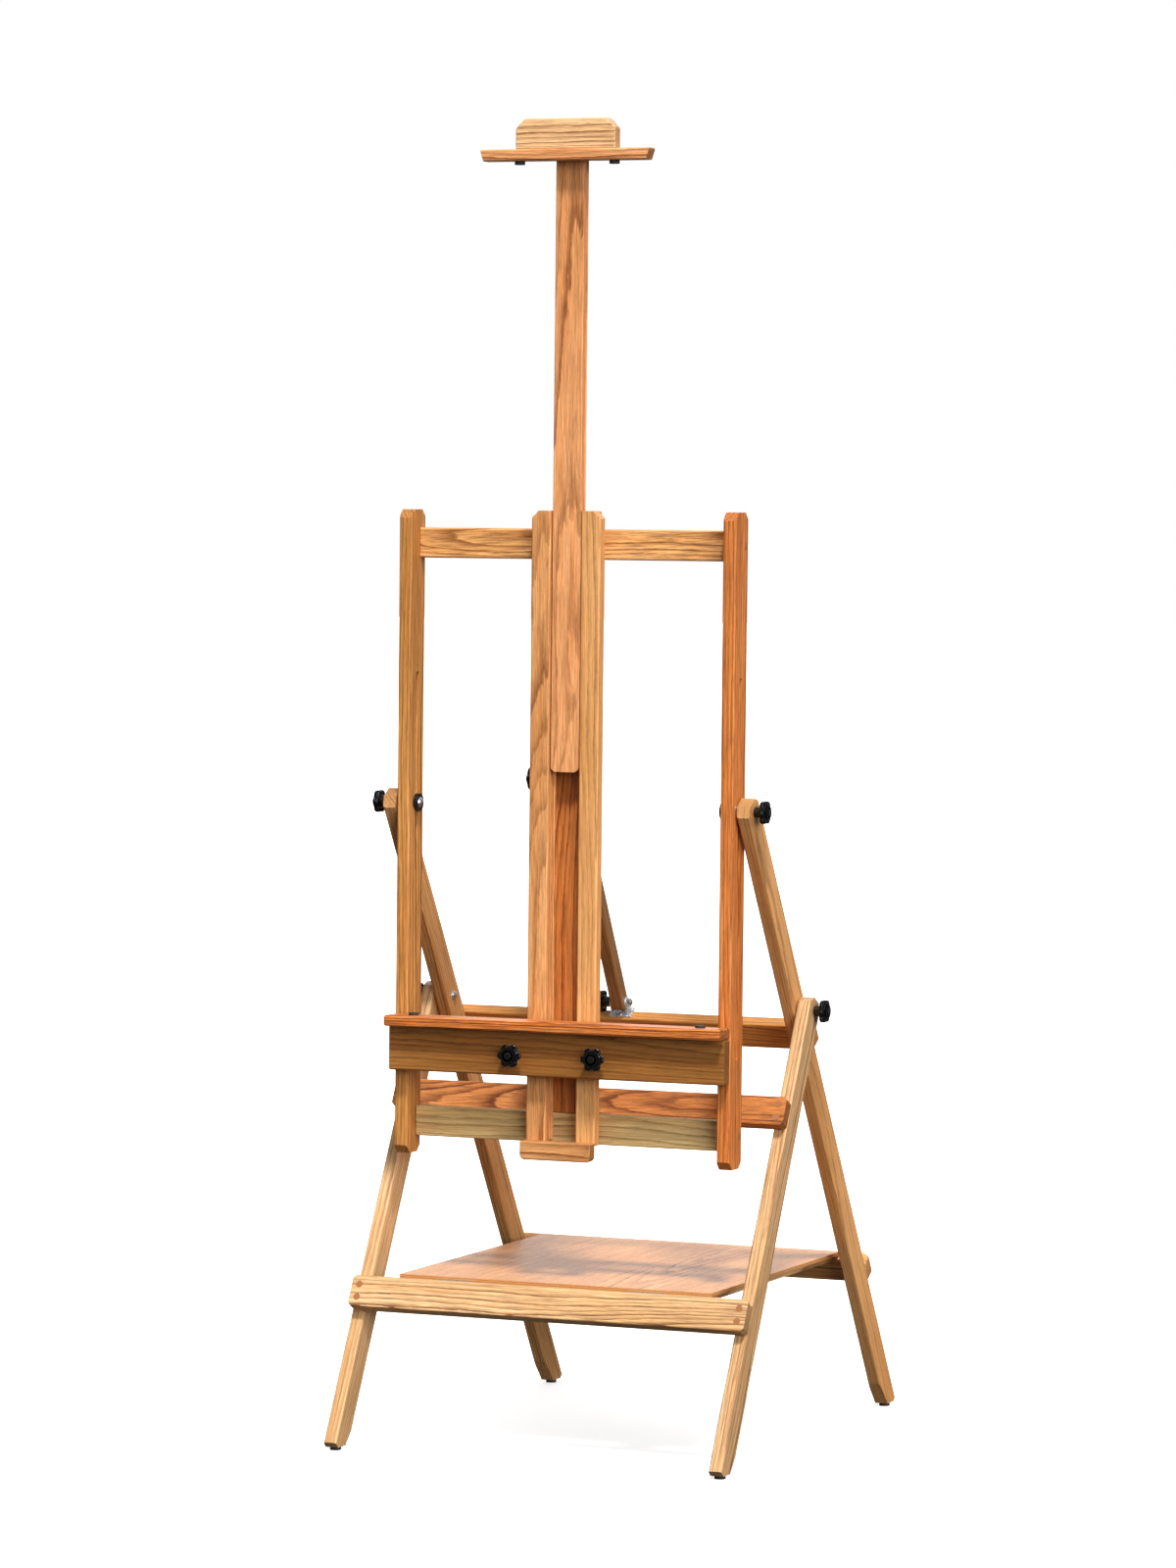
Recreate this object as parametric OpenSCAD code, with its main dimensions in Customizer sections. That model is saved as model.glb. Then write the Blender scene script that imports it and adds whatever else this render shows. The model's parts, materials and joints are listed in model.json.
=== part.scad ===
// Wooden artist easel: folding crossed-leg stand, tilting slotted panel,
// sliding mast with top holder, sliding painting tray and a lift-up shelf.
// Millimetres. +X is the viewer's right, +Y the back, +Z up.
// The origin is the centre of the easel's bounding box, on the floor.

/* [Timber] */
// Thickness of every sawn board
board_t = 20; // [18:0.5:24]
// Rounding of the boards' long edges
edge_r = 3; // [1:0.5:5]
// Size of the clipped corners at the board ends
corner_clip = 12; // [6:1:14]

/* [Stand] */
// Height of the bolts where the legs cross
pivot_h = 634.4; // [600:0.2:780]
// Rise from the crossing bolts to the bolts that carry the panel
wing_rise = 296.3; // [245:0.1:360]
// Width of the leg boards
leg_w = 44; // [36:1:54]
// Forward lean of the front legs in degrees
front_lean = 28.2; // [24:0.1:30]
// Backward lean of the rear legs in degrees
rear_lean = 33.5; // [30:0.1:36]
// Length of the legs past their top bolts
leg_top_len = 17; // [14:1:30]
// Height of the rubber feet
foot_h = 5; // [3:0.5:8]
// Diameter of the rubber feet
foot_d = 16; // [12:1:20]
// Height of the front upper rail
front_upper_h = 45; // [36:1:54]
// Height of the front lower rail
front_lower_h = 49; // [40:1:60]
// Height of the rear rails
rear_rail_h = 44; // [36:1:54]
// Distance down the front legs from their bolts to the upper rail
front_upper_s = 153; // [130:1:190]
// Distance down the front legs from their bolts to the lower rail
front_lower_s = 465; // [390:1:480]
// Distance down the rear legs from the crossing bolts to the upper rail
rear_upper_s = 48; // [44:1:60]

/* [Panel] */
// Width of the panel over its wing posts
panel_w = 522; // [430:2:630]
// Depth of the wing posts
post_w = 50; // [48:1:60]
// Length of the wing posts below the panel bolts
post_below = 510.7; // [480:0.1:520]
// Length of the wing posts above the panel bolts
post_above = 425.3; // [350:0.1:520]
// Length of the slots below the panel bolts
slot_below = 355.7; // [320:0.1:370]
// Length of the slots above the panel bolts
slot_above = 190.3; // [150:0.1:230]
// Height of the two crossbars
bar_h = 44; // [36:1:54]
// Gap between the two central posts
channel_w = 47; // [39:1:57]
// Width of each central post
centre_post_w = 30; // [25:1:36]

/* [Mast] */
// Length of the mast
mast_len = 931; // [770:1:1120]
// Height of the mast's lower end above the panel bolts
mast_rise = 50.3; // [30:0.1:120]
// Thickness of the mast
mast_t = 18; // [17:0.5:19]
// Width of the holder board
holder_w = 154; // [120:2:200]
// Width of the bar under the holder board
holder_bar_w = 260; // [200:1:320]
// Thickness of the bar under the holder board
holder_bar_t = 17; // [14:1:22]

/* [Tray] */
// Width of the tray
tray_w = 521; // [430:1:630]
// Height of the tray's apron board
apron_h = 65; // [54:1:90]
// Height of the apron's lower edge above the lower ends of the wing posts
tray_rise = 123.5; // [116:0.5:200]
// Depth of the tray's ledge
ledge_d = 40; // [34:1:60]
// Thickness of the tray's ledge
ledge_t = 16; // [12:1:22]

/* [Shelf] */
// Thickness of the shelf panel
shelf_t = 6; // [4:0.5:9]
// Space between the shelf and the rear legs
shelf_side_gap = 22; // [16:1:40]

/* [Hardware] */
// Diameter of the clamping bolts
bolt_d = 8; // [6:0.1:10]
// Diameter of the two stay bolts
stay_bolt_d = 6; // [5:0.1:7.5]
// Diameter of the star knobs
knob_d = 35; // [29:0.1:42]
// Height of the star knobs
knob_h = 22; // [18:0.1:27]
// Height of the stay's upper bolt above the panel bolts
stay_top_rise = 37.3; // [30:0.1:50]

/* [Hidden] */
$fn = 48;
fit = 0.1;                                 // radial clearance round bolts
gap = 0.3;                                 // space between moving faces
side_gap = 4;                              // rear leg to wing post
leg_gap = 2;                               // front leg to rear leg
slot_play = 1;                             // slot width over the bolt's diameter
rail_clip = 5;                             // clipped corners of the front rails
rear_rail_clip = 8;
far = 3000;                                // longer than any board
wing_bolt_h = pivot_h + wing_rise;
post_bottom = wing_bolt_h - post_below;
post_top = wing_bolt_h + post_above;
slot_w = bolt_d + slot_play;
wing_x = panel_w / 2 - board_t / 2;        // wing post centre plane
rear_x = panel_w / 2 + side_gap + board_t / 2;
front_x = rear_x + board_t + leg_gap;

// Reach of a leaning leg in front of or behind the crossing bolts.
function toe(lean) = corner_clip * tan(lean) / (1 + tan(lean));
function foot_y(lean) = (pivot_h - foot_h) * tan(lean);
function reach(lean) = foot_y(lean) + leg_w / 2 / cos(lean) - toe(lean);
pivot_y = (reach(front_lean) - reach(rear_lean)) / 2;

// Points on a leg: s runs down the leg from its crossing bolt, n is the
// distance outwards, to the front of a front leg or the back of a rear leg.
function front_pt(s, n) = [pivot_y - s * sin(front_lean) - n * cos(front_lean),
                           pivot_h - s * cos(front_lean) + n * sin(front_lean)];
function rear_pt(s, n) = [pivot_y + s * sin(rear_lean) + n * cos(rear_lean),
                          pivot_h - s * cos(rear_lean) + n * sin(rear_lean)];
wing_s = (pivot_h - wing_bolt_h) / cos(rear_lean);
wing_bolt_y = rear_pt(wing_s, 0)[0];
leg_face = leg_w / 2;

// Heights and depth planes of the panel.
bottom_bar_h = post_bottom + bar_h / 2 + 24;
block_bottom = post_bottom + 3;
block_h = 27;
centre_bottom = block_bottom + block_h - 5; // the central posts stand 5 behind the block
top_bar_h = post_top - bar_h / 2 - 26;
spine_w = channel_w + 8;                    // laps the central posts by 4 on each side
panel_front = wing_bolt_y - post_w / 2;
panel_back = wing_bolt_y + post_w / 2;
bar_front = panel_back - board_t;
post_out_x = channel_w / 2 + centre_post_w;
web_x = post_out_x - 10;
flange_d = 20;

// Mast and its tongue-and-groove guide.
mast_w = channel_w - 3;
mast_front = panel_front + 3.5;
tongue_t = 5;
tongue_y = panel_front + 14;
tongue_out = 5;
groove_play = 0.5;
mast_bottom = wing_bolt_h + mast_rise;
mast_top = mast_bottom + mast_len;
holder_h = 43.5;
total_h = mast_top + 3;                     // the holder board stands proud of the mast
holder_bar_d = 24;
holder_bar_top = total_h - holder_h;
holder_clip = 14;
bumper_x = 73;
bumper_t = 5;
bumper_d = 15;

// Tray planes.
tray_back = panel_front - 2.1;
apron_front = tray_back - board_t;
tray_bottom = post_bottom + tray_rise;
tray_knob_x = post_out_x + bolt_d / 2 + 7;
ledge_bottom = tray_bottom + apron_h;
ledge_top = ledge_bottom + ledge_t;
tray_knob_z = tray_bottom + 30;
clamp_front = panel_front + flange_d + 0.5;
clamp_back = bar_front - 0.5;
clamp_h = 40;
pad_t = 3.5;

// Stay: a strut from a bracket on the rear upper rail to a slot in the cheek.
stay_w = 24;
stay_x = spine_w / 2 - board_t / 2 - gap;
bracket_rise = 20;                          // bolt above the rear upper rail
stay_foot_s = rear_upper_s - bracket_rise;
stay_foot_n = leg_face + 14;
stay_foot = rear_pt(stay_foot_s, stay_foot_n);
stay_top_h = wing_bolt_h + stay_top_rise;
stay_top_y = panel_back + 21;
stay_len = norm([stay_top_y - stay_foot[0], stay_top_h - stay_foot[1]]);
stay_lean = atan2(stay_foot[0] - stay_top_y, stay_top_h - stay_foot[1]);
cheek_x1 = -spine_w / 2;
cheek_x0 = cheek_x1 - board_t;
cheek_back = panel_back + 41;
cheek_slot_y = stay_top_y + 1.2;            // middle of the bolt's drift as the panel tilts
cheek_slot_w = 14;
panel_up = 300;                             // travel of the panel on its bolts
panel_down = 90;
stay_rise = 56;                             // travel of the stay's bolt as the panel tilts
stay_drop = 6;
cheek_slot_lo = stay_top_h - panel_up - stay_drop - cheek_slot_w / 2;
cheek_slot_hi = stay_top_h + panel_down + stay_rise + cheek_slot_w / 2;
cheek_margin = 20;
bracket_t = 2.5;
ear_r = 7.5;
base_d = 22;
base_out = 4;                               // base plate past each ear
ear_in = board_t / 2 + 0.6;

// Shelf and its hinges on the front lower rail.
hinge_y = front_pt(front_lower_s, leg_face)[0] + 3.5;
hinge_z = front_pt(front_lower_s, leg_face)[1] + 0.9;
shelf_h = hinge_z + 4.8;                    // underside of the shelf panel
rear_lower_s = (pivot_h + leg_face * sin(rear_lean) - shelf_h + 4.43) / cos(rear_lean);
shelf_w = 2 * (rear_x - board_t / 2 - shelf_side_gap);
knuckle_r = 3.2;
hinge_pin_r = 1.5;
leaf_t = 1.2;
leaf_len = 60;
hinge_x = 150;
shelf_front = hinge_y - 2.2;
rear_rail_n = (shelf_h - 0.4 - pivot_h + rear_lower_s * cos(rear_lean)) / sin(rear_lean);
shelf_back = rear_pt(rear_lower_s, rear_rail_n)[0];
batten_h = 8;
batten_w = 20;

oak = "#c98a4e";
oak_dark = "#a8693a";
oak_red = "#b4663c";
oak_light = "#d9a468";
zinc = "#b9bcc0";
rubber = "#1b1a1a";
plastic = "#141414";

// ---- shapes that repeat ----

// Rectangle with rounded corners, centred.
module round_rect(w, h, r) {
    square([w - 2 * r, h], center = true);
    square([w, h - 2 * r], center = true);
    for (x = [-1, 1], y = [-1, 1])
        translate([x * (w / 2 - r), y * (h / 2 - r)]) circle(r = r, $fn = 24);
}

// Outline of a board, w wide from z0 to z1, with clipped corners c0 and c1.
module clipped_outline(w, z0, z1, c0, c1) {
    h = w / 2;
    polygon([[-h + c0, z0], [h - c0, z0], [h, z0 + c0], [h, z1 - c1],
             [h - c1, z1], [-h + c1, z1], [-h, z1 - c1], [-h, z0 + c0]]);
}

// Upright board: t thick along X, w wide along Y, long edges rounded.
module board(w, t, z0, z1, c0 = 0, c1 = 0) {
    intersection() {
        translate([0, 0, z0]) linear_extrude(z1 - z0) round_rect(t, w, edge_r);
        rotate([90, 0, 90]) translate([0, 0, -t]) linear_extrude(2 * t)
            clipped_outline(w, z0, z1, c0, c1);
    }
}

// Board lying along X: d deep, h high, length l, with clipped ends.
module bar(l, d, h, c = 0) {
    intersection() {
        rotate([0, 90, 0]) translate([0, 0, -l / 2]) linear_extrude(l)
            round_rect(h, d, edge_r);
        rotate([90, 0, 0]) translate([0, 0, -d]) linear_extrude(2 * d)
            rotate(90) clipped_outline(h, -l / 2, l / 2, c, c);
    }
}

// Hole or shaft along X, centred on the origin.
module rod_x(d, l) {
    rotate([0, 90, 0]) cylinder(d = d, h = l, center = true);
}

// Shaft or hole along X from x0 to x1, at y and z.
module rod_between(d, x0, x1, y, z) {
    translate([x0, y, z]) rotate([0, 90, 0]) cylinder(d = d, h = x1 - x0);
}

// Long hole along X with round ends, from z0 to z1.
module long_slot(w, z0, z1, l) {
    rotate([90, 0, 90]) translate([0, 0, -l / 2]) linear_extrude(l) {
        translate([-w / 2, z0 + w / 2]) square([w, z1 - z0 - w]);
        translate([0, z0 + w / 2]) circle(d = w);
        translate([0, z1 - w / 2]) circle(d = w);
    }
}

// Places children in a leg's frame: local z runs up the leg from its bolt,
// local y runs to the back.
module on_front_leg(x = 0) {
    translate([x, pivot_y, pivot_h]) rotate([-front_lean, 0, 0]) children();
}
module on_rear_leg(x = 0) {
    translate([x, pivot_y, pivot_h]) rotate([rear_lean, 0, 0]) children();
}

// Keeps what is above the feet, with the toe and heel corners clipped.
module foot_trim(y, lean) {
    half = leg_w / 2 / cos(lean) - corner_clip;
    rotate([90, 0, 90]) translate([0, 0, -far / 2]) linear_extrude(far)
        polygon([[y - half, foot_h], [y + half, foot_h],
                 [y + half + far, foot_h + far], [y - half - far, foot_h + far]]);
}

// Dome head of a carriage bolt, its flat side at x = 0, rising along +X.
module dome_head(d = 15, h = 4.5) {
    rotate([0, 90, 0]) intersection() {
        translate([0, 0, h - (d * d / 4 + h * h) / (2 * h)])
            sphere(r = (d * d / 4 + h * h) / (2 * h));
        cylinder(d = d, h = h);
    }
}

// Star knob on z = 0, its head away from the wood, with a hole for the bolt.
lobes = 6;
lobe_r = knob_d * 0.145;
stem_h = knob_h * 0.45;
module star_outline() {
    circle(r = knob_d * 0.37);
    for (i = [0:lobes - 1])
        rotate(i * 360 / lobes) translate([knob_d / 2 - lobe_r, 0])
            circle(r = lobe_r, $fn = 32);
}
module knob_profile() {
    r = knob_d / 2 + 0.2;
    polygon([[0, stem_h], [r - 1.6, stem_h], [r, stem_h + 1.6], [r, knob_h - 4.5],
             [r - 2, knob_h - 2], [r - 5, knob_h - 0.6], [knob_d * 0.2, knob_h], [0, knob_h]]);
}
module star_knob(hole_d, hole_h) {
    difference() {
        union() {
            cylinder(r1 = knob_d * 0.2, r2 = knob_d * 0.24, h = stem_h + 0.01);
            intersection() {
                linear_extrude(knob_h) star_outline();
                rotate_extrude() knob_profile();
            }
        }
        translate([0, 0, -1]) cylinder(d = hole_d, h = hole_h + 1);
    }
}
// Star knob with its own screw, which reaches back to z = -screw_l.
module screw_knob(screw_d, screw_l) {
    star_knob(screw_d - 1, 4);
    translate([0, 0, -screw_l]) cylinder(d = screw_d, h = screw_l + 6);
}
// Puts a knob on the end of a bolt that points along X to side s.
module knob_on_x(s, x, y, z) {
    translate([s * x, y, z]) rotate([0, s * 90, 0]) children();
}

// ---- rear frame ----

module rear_leg(s) {
    color(oak) difference() {
        intersection() {
            on_rear_leg(s * rear_x)
                board(leg_w, board_t, -far / 3, leg_top_len - wing_s, 0, corner_clip);
            foot_trim(pivot_y + foot_y(rear_lean), rear_lean);
        }
        rod_between(bolt_d + 2 * fit, s * rear_x - board_t, s * rear_x + board_t, pivot_y, pivot_h);
        rod_between(bolt_d + 2 * fit, s * rear_x - board_t, s * rear_x + board_t, wing_bolt_y, wing_bolt_h);
    }
}

module rear_rail(s0) {
    color(oak_dark) on_rear_leg()
        translate([0, leg_face + board_t / 2, -s0 - rear_rail_h / 2])
            bar(2 * rear_x + board_t, board_t, rear_rail_h, rear_rail_clip);
}

module feet(x, y) {
    color(rubber) for (s = [-1, 1]) translate([s * x, y, 0]) cylinder(d = foot_d, h = foot_h);
}

module stay_bracket() {
    color(zinc) on_rear_leg(-stay_x) {
        difference() {
            union() {
                translate([-ear_in - bracket_t - base_out, stay_foot_n - base_d / 2, -rear_upper_s])
                    cube([2 * (ear_in + bracket_t + base_out), base_d, bracket_t]);
                for (s = [-1, 1]) translate([s * (ear_in + bracket_t / 2), 0, 0])
                    rotate([90, 0, 90]) translate([0, 0, -bracket_t / 2]) linear_extrude(bracket_t) {
                        translate([stay_foot_n - ear_r, -rear_upper_s]) square([2 * ear_r, bracket_rise]);
                        translate([stay_foot_n, -stay_foot_s]) circle(r = ear_r);
                    }
            }
            translate([0, stay_foot_n, -stay_foot_s]) rod_x(stay_bolt_d + 2 * fit, 3 * board_t);
        }
    }
}

module bracket_screws() {
    color(zinc) on_rear_leg(-stay_x) for (k = [-1, 1])
        translate([0, stay_foot_n + k * 5.5, bracket_t - rear_upper_s]) cylinder(d = 6, h = 1.6);
}

module leg_bolts() {
    color(zinc) for (s = [-1, 1]) {
        x_in = rear_x - board_t / 2;
        x_out = front_x + board_t / 2 + 12;
        translate([s * x_in, pivot_y, pivot_h]) mirror([s > 0 ? 1 : 0, 0, 0]) dome_head();
        translate([s * (x_in + x_out) / 2, pivot_y, pivot_h]) rod_x(bolt_d, x_out - x_in);
    }
}

module leg_washers() {
    color(zinc) for (s = [-1, 1])
        translate([s * (rear_x + board_t / 2 + leg_gap / 2), pivot_y, pivot_h]) difference() {
            rod_x(22, leg_gap - 2 * gap);
            rod_x(bolt_d + 2 * fit, leg_gap + 1);
        }
}

// ---- front frame ----

module front_leg(s) {
    color(oak) difference() {
        intersection() {
            on_front_leg(s * front_x)
                board(leg_w, board_t, -far / 3, leg_top_len, 0, corner_clip);
            foot_trim(pivot_y - foot_y(front_lean), front_lean);
        }
        rod_between(bolt_d + 2 * fit, s * front_x - board_t, s * front_x + board_t, pivot_y, pivot_h);
    }
}

plug_d = 10;
plug_depth = 6;
// Places children at the plugs of a front rail, h high, whose upper edge is at s0.
module at_rail_plugs(s0, h) {
    for (s = [-1, 1], k = [-1, 1])
        on_front_leg(s * (front_x - 2)) translate([0, -leg_face - board_t, -s0 - h / 2 + k * 9.75])
            rotate([-90, 0, 0]) children();
}
module front_rail(s0, h) {
    color(oak_red) difference() {
        on_front_leg() translate([0, -leg_face - board_t / 2, -s0 - h / 2])
            bar(2 * front_x + board_t, board_t, h, rail_clip);
        at_rail_plugs(s0, h)
            translate([0, 0, -1]) cylinder(d = plug_d, h = plug_depth + 1);
    }
}
module rail_plugs() {
    color(oak_light) for (rail = [[front_upper_s, front_upper_h], [front_lower_s, front_lower_h]])
        at_rail_plugs(rail[0], rail[1])
            translate([0, 0, -0.4]) cylinder(d = plug_d, h = plug_depth + 0.4);
}

module hinge_barrel(x, l) {
    translate([x, hinge_y, hinge_z]) rod_x(2 * knuckle_r, l);
}
module rail_hinge_leaves() {
    color(zinc) for (s = [-1, 1]) {
        on_front_leg(s * hinge_x) {
            translate([-leaf_len / 2, -leg_face - board_t + 3, -front_lower_s])
                cube([leaf_len, board_t - 3.5, leaf_t]);
            for (k = [-1, 1])
                translate([k * leaf_len / 3 - leaf_len / 6 + 0.5, -leg_face - 1, -front_lower_s])
                    cube([leaf_len / 3 - 1, 2.3, leaf_t]);
        }
        for (k = [-1, 1]) difference() {
            hinge_barrel(s * hinge_x + k * leaf_len / 3, leaf_len / 3);
            translate([s * hinge_x, hinge_y, hinge_z]) rod_x(2 * (hinge_pin_r + fit), leaf_len + 2);
        }
    }
}

// ---- shelf ----

module shelf_panel() {
    color(oak_light) translate([-shelf_w / 2, shelf_front, shelf_h])
        cube([shelf_w, shelf_back - shelf_front, shelf_t]);
}
module shelf_battens() {
    y0 = hinge_y + 5;
    y1 = rear_pt(rear_lower_s, leg_face)[0] - 4;
    color(oak) for (s = [-1, 1])
        translate([s * (shelf_w / 2 - 18) - batten_w / 2, y0, shelf_h - batten_h])
            cube([batten_w, y1 - y0, batten_h]);
}
module shelf_hinge_leaves() {
    color(zinc) for (s = [-1, 1]) {
        translate([s * hinge_x - leaf_len / 2 + 1, hinge_y + 4, shelf_h - leaf_t])
            cube([leaf_len - 2, 20, leaf_t]);
        hinge_barrel(s * hinge_x, leaf_len / 3 - 2 * gap);
        translate([s * hinge_x - leaf_len / 6 + gap, hinge_y - 1.2, hinge_z])
            cube([leaf_len / 3 - 2 * gap, 2.4, shelf_h - hinge_z]);
        translate([s * hinge_x - leaf_len / 6 + gap, hinge_y - 1.2, shelf_h - leaf_t])
            cube([leaf_len / 3 - 2 * gap, 6, leaf_t]);
        translate([s * hinge_x, hinge_y, hinge_z]) rod_x(2 * hinge_pin_r, leaf_len);
    }
}

// ---- panel bolts ----

module wing_bolts() {
    x_in = panel_w / 2 - board_t - 6;
    x_out = rear_x + board_t / 2 + 12;
    color(zinc) for (s = [-1, 1]) {
        translate([s * x_in, wing_bolt_y, wing_bolt_h]) mirror([s > 0 ? 1 : 0, 0, 0]) dome_head();
        translate([s * (x_in + x_out) / 2, wing_bolt_y, wing_bolt_h]) rod_x(bolt_d, x_out - x_in);
    }
}
module washer_x(s, x0, x1, d) {
    translate([s * (x0 + x1) / 2, wing_bolt_y, wing_bolt_h]) difference() {
        rod_x(d, x1 - x0);
        rod_x(bolt_d + 2 * fit, x1 - x0 + 1);
    }
}
module wing_washers() {
    x_post = panel_w / 2 - board_t;
    color(plastic) for (s = [-1, 1]) washer_x(s, x_post - 6, x_post - gap, 26);
}
module wing_spacers() {
    color(zinc) for (s = [-1, 1])
        washer_x(s, panel_w / 2 + gap, panel_w / 2 + side_gap - gap, 24);
}

// ---- panel ----

post_plug_y = bar_front + board_t / 2;
module wing_post(s) {
    color(oak) difference() {
        translate([s * wing_x, wing_bolt_y, 0])
            board(post_w, board_t, post_bottom, post_top, corner_clip, corner_clip);
        translate([s * wing_x, wing_bolt_y, 0])
            long_slot(slot_w, wing_bolt_h - slot_below, wing_bolt_h + slot_above, 2 * board_t);
        for (z = [bottom_bar_h, top_bar_h])
            translate([s * panel_w / 2, post_plug_y, z]) rod_x(plug_d, 2 * plug_depth);
    }
}
module post_plugs() {
    color(oak_light) for (s = [-1, 1], z = [bottom_bar_h, top_bar_h])
        translate([s * (panel_w / 2 - plug_depth / 2 + 0.2), post_plug_y, z])
            rod_x(plug_d, plug_depth + 0.4);
}
module crossbar(z) {
    color(oak) translate([0, bar_front + board_t / 2, z])
        bar(panel_w - 2 * board_t, board_t, bar_h);
}
insert_d = 11;
module top_crossbar() {
    difference() {
        crossbar(top_bar_h);
        color(oak) translate([0, bar_front - 1, top_bar_h]) rotate([-90, 0, 0])
            cylinder(d = insert_d, h = board_t + 2);
    }
}
module mast_lock_insert() {
    color("#b08d4a") translate([0, bar_front, top_bar_h]) rotate([-90, 0, 0]) difference() {
        cylinder(d = insert_d, h = board_t - 1);
        translate([0, 0, -1]) cylinder(d = bolt_d + 2 * fit, h = board_t + 2);
    }
}

// Section of a central post: a front flange and a web that meets the spine.
module centre_post(s) {
    z1 = post_top;
    color(oak) intersection() {
        translate([0, 0, centre_bottom]) linear_extrude(z1 - centre_bottom)
            mirror([s > 0 ? 0 : 1, 0]) {
                translate([channel_w / 2 + centre_post_w / 2, panel_front + flange_d / 2])
                    round_rect(centre_post_w, flange_d, edge_r);
                translate([channel_w / 2, panel_front + flange_d / 2])
                    square([web_x - channel_w / 2, bar_front - panel_front - flange_d / 2]);
            }
        mirror([s > 0 ? 0 : 1, 0, 0]) rotate([90, 0, 0]) translate([0, 0, -far]) linear_extrude(2 * far)
            polygon([[0, 0], [post_out_x + 1, 0], [post_out_x + 1, z1 - corner_clip],
                     [post_out_x - corner_clip + 1, z1 + 0.01], [0, z1 + 0.01]]);
    }
}
module guide_tongues() {
    color(oak_light) for (s = [-1, 1])
        translate([s * (channel_w / 2 - tongue_out / 2), tongue_y + tongue_t / 2, post_bottom + 30])
            linear_extrude(post_top - post_bottom - 32)
                square([tongue_out, tongue_t], center = true);
}
module spine() {
    z0 = bottom_bar_h + bar_h / 2;
    z1 = top_bar_h - bar_h / 2;
    color(oak_red) translate([-spine_w / 2, bar_front, z0]) cube([spine_w, board_t, z1 - z0]);
}
module foot_block() {
    w = 2 * post_out_x + 3;
    h = block_h;
    r = 8;
    color(oak_light) translate([0, panel_front, block_bottom]) rotate([90, 0, 0])
        linear_extrude(board_t) {
            translate([-w / 2, r]) square([w, h - r]);
            translate([-w / 2 + r, 0]) square([w - 2 * r, h]);
            for (s = [-1, 1]) translate([s * (w / 2 - r), r]) circle(r = r);
        }
}
module tilt_cheek() {
    z0 = cheek_slot_lo - cheek_margin;
    z1 = cheek_slot_hi + cheek_margin;
    d = cheek_back - bar_front;
    cut = 20;
    color(oak_red) difference() {
        translate([(cheek_x0 + cheek_x1) / 2, bar_front + d / 2, 0])
            rotate([90, 0, 90]) translate([0, 0, -board_t / 2]) linear_extrude(board_t)
                polygon([[-d / 2, z0], [d / 2 - cut, z0], [d / 2, z0 + cut],
                         [d / 2, z1 - cut], [d / 2 - cut, z1], [-d / 2, z1]]);
        translate([(cheek_x0 + cheek_x1) / 2, cheek_slot_y, 0])
            long_slot(cheek_slot_w, cheek_slot_lo, cheek_slot_hi, 2 * board_t);
    }
}

// ---- mast and holder ----

module mast() {
    r = 9;
    groove_d = tongue_out - (channel_w - mast_w) / 2 + groove_play;
    color(oak) intersection() {
        translate([0, 0, mast_bottom]) linear_extrude(mast_top - mast_bottom) difference() {
            translate([0, mast_front + mast_t / 2]) round_rect(mast_w, mast_t, 1.5);
            for (s = [-1, 1])
                translate([s * (mast_w / 2 + 1 - (groove_d + 1) / 2), tongue_y + tongue_t / 2])
                    square([groove_d + 1, tongue_t + 2 * groove_play], center = true);
        }
        translate([0, mast_front - 1, mast_bottom]) rotate([90, 0, 0]) translate([0, 0, -mast_t - 2])
            linear_extrude(mast_t + 4) {
                translate([-mast_w / 2, r]) square([mast_w, mast_top - mast_bottom]);
                translate([-mast_w / 2 + r, 0]) square([mast_w - 2 * r, r + 1]);
                for (s = [-1, 1]) translate([s * (mast_w / 2 - r), r]) circle(r = r);
            }
    }
}
module holder_board() {
    h = holder_h;
    color(oak_light) translate([0, mast_front - board_t / 2, holder_bar_top]) rotate([90, 0, 0])
        translate([0, 0, -board_t / 2]) linear_extrude(board_t)
            polygon([[-holder_w / 2, 0], [holder_w / 2, 0], [holder_w / 2, h - holder_clip],
                     [holder_w / 2 - holder_clip, h], [-holder_w / 2 + holder_clip, h],
                     [-holder_w / 2, h - holder_clip]]);
}
module holder_bar() {
    w = holder_bar_w / 2;
    t = holder_bar_t;
    color(oak_light) translate([0, mast_front - holder_bar_d / 2, holder_bar_top - t / 2]) intersection() {
        bar(holder_bar_w, holder_bar_d, t);
        rotate([90, 0, 0]) translate([0, 0, -holder_bar_d]) linear_extrude(2 * holder_bar_d)
            polygon([[-w + 1.5, t], [-w, t / 2 - 2.5], [-w + 4, -t / 2 + 2], [-w + 7, -t],
                     [w - 7, -t], [w - 4, -t / 2 + 2], [w, t / 2 - 2.5], [w - 1.5, t]]);
    }
}
module holder_bumpers() {
    z = holder_bar_top - holder_bar_t - bumper_t;
    color(rubber) for (s = [-1, 1])
        translate([s * bumper_x, mast_front - holder_bar_d / 2, z]) cylinder(d = bumper_d, h = bumper_t);
}

// ---- tray ----

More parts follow.
